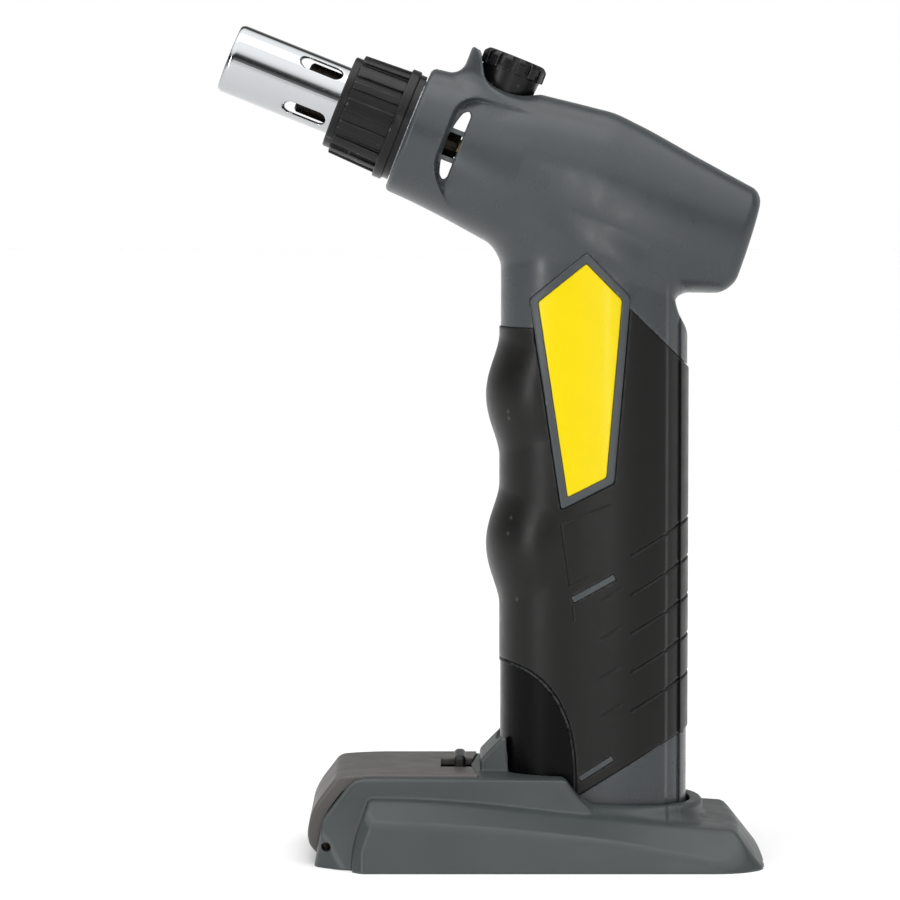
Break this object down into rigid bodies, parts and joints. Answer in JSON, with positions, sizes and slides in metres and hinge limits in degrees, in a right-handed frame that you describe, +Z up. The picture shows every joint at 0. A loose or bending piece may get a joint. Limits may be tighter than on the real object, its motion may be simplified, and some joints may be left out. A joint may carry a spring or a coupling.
{
  "type": "butane hand torch with stand",
  "caption": "Pistol-shaped refillable butane torch with a tilted chrome burner, fluted air collar, push and turn knob and rubber grip, standing in a detachable base with a hinged lid.",
  "frame": {"origin": "centre of the object's bounding box, on the surface that the stand rests on", "axes": "+Z up, burner towards -X, left side of the torch towards -Y"},
  "size_m": [0.1392, 0.0746, 0.2108],
  "materials": {
    "grey_shell": "satin moulded plastic with a very fine grain",
    "grey_stand": "matte moulded plastic",
    "lid_grey": "matte moulded plastic, a warmer grey",
    "black_rubber": "matte thermoplastic rubber",
    "badge_frame": "satin grey plastic",
    "yellow_badge": "glossy yellow plastic, plain",
    "panel_black": "smooth black label film, blank",
    "black_plastic": "satin black moulded plastic",
    "latch_black": "satin black moulded plastic",
    "chrome": "polished",
    "steel": "zinc plated",
    "dark_metal": "heat darkened",
    "brass": "machined",
    "tank_plastic": "translucent moulded plastic",
    "seal_rubber": "matte",
    "wick": "woven cotton",
    "tube_plastic": "satin",
    "piezo_blue": "moulded plastic",
    "lever_plastic": "natural acetal",
    "plate_plastic": "matte moulded plastic"
  },
  "bodies": {
    "stand": {"stand_body": "grey_stand", "stand_plate": "plate_plastic", "stand_screw_1": "steel", "stand_screw_2": "steel", "stand_screw_3": "steel", "stand_screw_4": "steel", "lid_hinge_pin": "dark_metal"},
    "torch": {"left_shell": "grey_shell", "right_shell": "grey_shell", "left_grip": "black_rubber", "right_grip": "black_rubber", "left_badge_frame": "badge_frame", "right_badge_frame": "badge_frame", "left_badge_insert": "yellow_badge", "right_badge_insert": "yellow_badge", "warning_panel": "panel_black", "shell_screw_1": "steel", "shell_screw_2": "steel", "shell_screw_3": "steel", "shell_screw_4": "steel", "fuel_tank": "tank_plastic", "refill_valve": "brass", "refill_seal": "seal_rubber", "tank_fitting": "brass", "tank_wick": "wick", "gas_tube": "tube_plastic", "valve_body": "brass", "jet_pipe": "dark_metal", "gas_jet": "brass", "burner_holder": "steel", "mixing_tube": "steel", "burner_nozzle": "dark_metal", "burner_tube": "chrome", "collar_seal": "seal_rubber", "lever_pin": "steel", "piezo_igniter": "piezo_blue", "return_spring": "steel"},
    "plunger": {"plunger": "black_plastic"},
    "knob": {"control_knob": "black_plastic"},
    "collar": {"air_collar": "black_plastic"},
    "lever": {"ignition_lever": "lever_plastic"},
    "piezo_cap": {"piezo_cap": "black_plastic"},
    "lid": {"stand_lid": "lid_grey"},
    "latch": {"latch_slider": "latch_black"}
  },
  "joints": [
    {"name": "torch_lift", "type": "slide", "parent": "stand", "child": "torch", "axis": [0, 0, 1], "range_m": [0, 0.045]},
    {"name": "knob_push", "type": "slide", "parent": "torch", "child": "plunger", "axis": [-0.3714, 0, -0.9285], "range_m": [0, 0.004], "stiffness_N_per_m": 1500, "springref_m": -0.002, "deforming": ["return_spring"]},
    {"name": "knob_turn", "type": "hinge", "parent": "plunger", "child": "knob", "pos_m": [-0.00322, 0, 0.17775], "axis": [0.3714, 0, 0.9285], "range_deg": [0, 270]},
    {"name": "collar_turn", "type": "hinge", "parent": "torch", "child": "collar", "pos_m": [0.0264, 0, 0.1659], "axis": [-0.9285, 0, 0.3714], "range_deg": [0, 90]},
    {"name": "lever_tilt", "type": "hinge", "parent": "torch", "child": "lever", "pos_m": [0.0121, 0, 0.1615], "axis": [0, -1, 0], "range_deg": [0, 11.2]},
    {"name": "piezo_press", "type": "slide", "parent": "torch", "child": "piezo_cap", "axis": [0, 0, 1], "range_m": [0, 0.00365]},
    {"name": "lid_open", "type": "hinge", "parent": "stand", "child": "lid", "pos_m": [-0.0413, 0, 0.0053], "axis": [0, -1, 0], "range_deg": [0, 90]},
    {"name": "latch_slide", "type": "slide", "parent": "lid", "child": "latch", "axis": [-1, 0, 0], "range_m": [0, 0.0032]}
  ],
  "couplings": [
    {"joint": "lever_tilt", "follows": "knob_push", "rad_per_m": 48.5},
    {"joint": "piezo_press", "follows": "knob_push", "ratio": 0.9}
  ]
}
